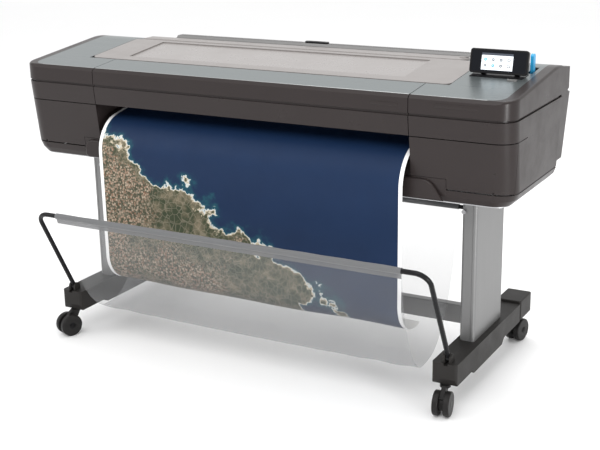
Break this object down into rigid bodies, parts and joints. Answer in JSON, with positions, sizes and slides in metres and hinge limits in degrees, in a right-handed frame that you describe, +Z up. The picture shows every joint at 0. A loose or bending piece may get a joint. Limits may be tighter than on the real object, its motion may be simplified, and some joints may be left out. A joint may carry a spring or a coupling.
{
  "type": "large format plotter",
  "caption": "Wide roll-fed inkjet plotter on a wheeled stand, with a hinged window lid, tilting touch panel, rear roll bay and a cloth catch basket holding a hanging print.",
  "frame": {"origin": "middle of the stand, on the floor", "axes": "+X to the viewer's right along the machine's width, +Y to the back, +Z up"},
  "size_m": [1.828, 0.862, 1.0795],
  "materials": {
    "dark_body": "satin",
    "silver_plate": "satin metallic",
    "taupe_lid": "satin",
    "window": "translucent",
    "grey_cover": "ribbed",
    "black_plastic": "gloss",
    "screen": "glossy",
    "blue_lever": "satin",
    "stand_aluminium": "satin",
    "foot_grey": "matte",
    "caster_plastic": "matte",
    "black_rod": "gloss",
    "mesh_cloth": "open mesh",
    "paper": "matte",
    "steel": "brushed",
    "rubber": "matte",
    "cartridge": "matte"
  },
  "bodies": {
    "chassis": {"left_end_cover": "dark_body", "right_end_cover": "dark_body", "left_top_cover": "dark_body", "right_top_cover": "dark_body", "front_top_cover": "dark_body", "lower_front_cover": "dark_body", "left_top_plate": "silver_plate", "right_top_plate": "silver_plate", "front_top_plate": "silver_plate", "exit_guide": "dark_body", "base_tray": "steel", "rear_housing": "dark_body", "rear_rim": "taupe_lid", "power_inlet": "black_plastic", "display_mount": "black_plastic", "side_plates": "steel", "main_beam": "steel", "scan_rail": "steel", "platen": "black_plastic", "carriage_belt": "rubber", "belt_pulleys": "steel", "service_station": "black_plastic", "electronics_box": "steel", "ink_cartridges": "cartridge", "spindle_supports": "black_plastic", "printed_sheet": "paper", "left_leg": "stand_aluminium", "right_leg": "stand_aluminium", "left_foot": "foot_grey", "right_foot": "foot_grey", "foot_end_caps": "foot_grey", "cross_brace": "stand_aluminium", "basket_rear_bar": "black_rod", "stand_fasteners": "steel", "basket_cloth": "mesh_cloth"},
    "lid": {"window_frame": "taupe_lid", "window_pane": "window"},
    "roll_lid": {"roll_cover": "grey_cover"},
    "roll_latch": {"roll_cover_latch": "black_plastic"},
    "display": {"display_housing": "black_plastic", "display_screen": "screen"},
    "button": {"power_button": "grey_cover"},
    "lever": {"load_lever": "blue_lever"},
    "left_door": {"left_ink_door": "dark_body"},
    "right_door": {"right_ink_door": "dark_body"},
    "carriage_body": {"carriage": "black_plastic", "printheads": "cartridge"},
    "feed_roller": {"drive_roller": "rubber"},
    "pinch_shaft": {"pinch_rollers": "steel"},
    "roll": {"spindle": "black_plastic", "paper_roll": "paper"},
    "bail": {"basket_bail": "black_rod"},
    "caster_front_left": {"caster_fork_front_left": "caster_plastic"},
    "wheels_front_left": {"caster_wheels_front_left": "caster_plastic"},
    "caster_front_right": {"caster_fork_front_right": "caster_plastic"},
    "wheels_front_right": {"caster_wheels_front_right": "caster_plastic"},
    "caster_rear_left": {"caster_fork_rear_left": "caster_plastic"},
    "wheels_rear_left": {"caster_wheels_rear_left": "caster_plastic"},
    "caster_rear_right": {"caster_fork_rear_right": "caster_plastic"},
    "wheels_rear_right": {"caster_wheels_rear_right": "caster_plastic"}
  },
  "joints": [
    {"name": "lid_hinge", "type": "hinge", "parent": "chassis", "child": "lid", "pos_m": [0, 0.136, 1.0055], "axis": [-1, 0, 0], "range_deg": [0, 60]},
    {"name": "roll_cover_hinge", "type": "hinge", "parent": "chassis", "child": "roll_lid", "pos_m": [0, 0.222, 1.008], "axis": [1, 0, 0], "range_deg": [0, 75]},
    {"name": "roll_latch_slide", "type": "slide", "parent": "roll_lid", "child": "roll_latch", "axis": [0, -1, 0], "range_m": [0, 0.006]},
    {"name": "display_tilt", "type": "hinge", "parent": "chassis", "child": "display", "pos_m": [0.749, 0.008, 1.017], "axis": [-1, 0, 0], "range_deg": [0, 50]},
    {"name": "power_button_press", "type": "slide", "parent": "chassis", "child": "button", "axis": [0, 0, -1], "range_m": [0, 0.0015], "stiffness_N_per_m": 400},
    {"name": "load_lever_hinge", "type": "hinge", "parent": "chassis", "child": "lever", "pos_m": [0.832, 0.07, 0.985], "axis": [-1, 0, 0], "range_deg": [0, 35]},
    {"name": "left_ink_door_hinge", "type": "hinge", "parent": "chassis", "child": "left_door", "pos_m": [-0.78, -0.2443, 0.6925], "axis": [1, 0, 0], "range_deg": [0, 80]},
    {"name": "right_ink_door_hinge", "type": "hinge", "parent": "chassis", "child": "right_door", "pos_m": [0.75, -0.2443, 0.6925], "axis": [1, 0, 0], "range_deg": [0, 80]},
    {"name": "carriage_slide", "type": "slide", "parent": "chassis", "child": "carriage_body", "axis": [-1, 0, 0], "range_m": [0, 1.4]},
    {"name": "drive_roller_spin", "type": "hinge", "parent": "chassis", "child": "feed_roller", "pos_m": [0, 0.064, 0.802], "axis": [1, 0, 0], "continuous": true},
    {"name": "pinch_roller_spin", "type": "hinge", "parent": "chassis", "child": "pinch_shaft", "pos_m": [0, 0.064, 0.8304], "axis": [1, 0, 0], "continuous": true},
    {"name": "roll_spin", "type": "hinge", "parent": "chassis", "child": "roll", "pos_m": [0, 0.24, 0.865], "axis": [1, 0, 0], "continuous": true},
    {"name": "bail_hinge", "type": "hinge", "parent": "chassis", "child": "bail", "pos_m": [0, -0.328, 0.176], "axis": [1, 0, 0], "range_deg": [-12, 45]},
    {"name": "caster_swivel_front_left", "type": "hinge", "parent": "chassis", "child": "caster_front_left", "pos_m": [-0.7265, -0.338, 0.1], "axis": [0, 0, 1], "continuous": true},
    {"name": "caster_roll_front_left", "type": "hinge", "parent": "caster_front_left", "child": "wheels_front_left", "pos_m": [-0.73774, -0.36582, 0.04], "axis": [-0.9272, 0.3746, 0], "continuous": true},
    {"name": "caster_swivel_front_right", "type": "hinge", "parent": "chassis", "child": "caster_front_right", "pos_m": [0.7265, -0.338, 0.1], "axis": [0, 0, 1], "continuous": true},
    {"name": "caster_roll_front_right", "type": "hinge", "parent": "caster_front_right", "child": "wheels_front_right", "pos_m": [0.73067, -0.36771, 0.04], "axis": [-0.9903, -0.1392, 0], "continuous": true},
    {"name": "caster_swivel_rear_left", "type": "hinge", "parent": "chassis", "child": "caster_rear_left", "pos_m": [-0.7265, 0.288, 0.1], "axis": [0, 0, 1], "continuous": true},
    {"name": "caster_roll_rear_left", "type": "hinge", "parent": "caster_rear_left", "child": "wheels_rear_left", "pos_m": [-0.72911, 0.31789, 0.04], "axis": [0.9962, 0.0872, 0], "continuous": true},
    {"name": "caster_swivel_rear_right", "type": "hinge", "parent": "chassis", "child": "caster_rear_right", "pos_m": [0.7265, 0.288, 0.1], "axis": [0, 0, 1], "continuous": true},
    {"name": "caster_roll_rear_right", "type": "hinge", "parent": "caster_rear_right", "child": "wheels_rear_right", "pos_m": [0.73171, 0.31754, 0.04], "axis": [0.9848, -0.1736, 0], "continuous": true}
  ]
}
